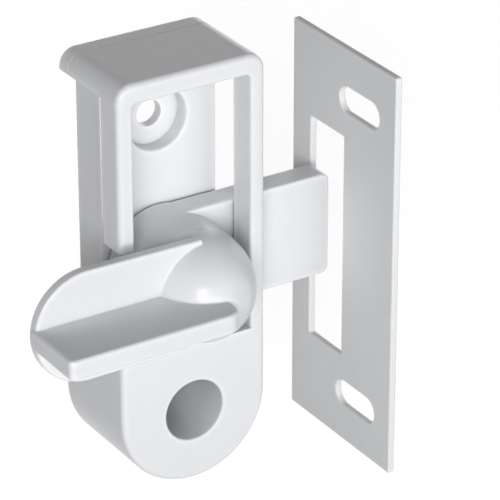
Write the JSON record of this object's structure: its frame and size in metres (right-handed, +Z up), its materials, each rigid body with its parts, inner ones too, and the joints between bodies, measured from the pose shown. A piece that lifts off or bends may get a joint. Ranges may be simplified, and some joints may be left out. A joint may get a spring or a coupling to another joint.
{
  "type": "storm door deadbolt",
  "caption": "Surface-mounted storm door lock: a thumb turn swings a flat bolt sideways out of an open-framed casting and into the window of a slotted strike plate",
  "frame": {"origin": "where the pivot axis meets the plane of the door's face, midway between the two body screws", "axes": "+X the way the bolt points when locked, toward the strike plate; +Y into the door; +Z up"},
  "size_m": [0.0636, 0.0348, 0.0765],
  "materials": {
    "coated_casting": "white powder coat over die-cast zinc, satin",
    "coated_sheet": "white powder coat over steel sheet, satin",
    "plated_steel": "bright zinc plate",
    "spring_steel": "oiled spring steel",
    "ball_steel": "polished hardened steel",
    "nylon": "natural nylon"
  },
  "bodies": {
    "housing": {"housing": "coated_casting", "pivot_bush": "nylon", "stop_pin": "plated_steel", "disc_spring": "spring_steel", "detent_spring": "spring_steel"},
    "bolt_and_turn": {"bolt": "coated_casting", "thumb_turn": "coated_casting", "pivot_screw": "plated_steel", "screw_washer": "plated_steel"},
    "detent_ball": {"detent_ball": "ball_steel"},
    "strike_plate": {"strike_plate": "coated_sheet"}
  },
  "joints": [
    {"name": "bolt_swing", "type": "hinge", "parent": "housing", "child": "bolt_and_turn", "pos_m": [0, 0, 0], "axis": [0, -1, 0], "range_deg": [0, 90]},
    {"name": "ball_slide", "type": "slide", "parent": "housing", "child": "detent_ball", "axis": [0, -1, 0], "range_m": [0, 0.0004], "stiffness_N_per_m": 600, "springref_m": 0.0008, "deforming": ["detent_spring"]},
    {"name": "strike_placing", "type": "slide", "parent": "housing", "child": "strike_plate", "axis": [1, 0, 0], "range_m": [-0.003, 0.008]}
  ]
}
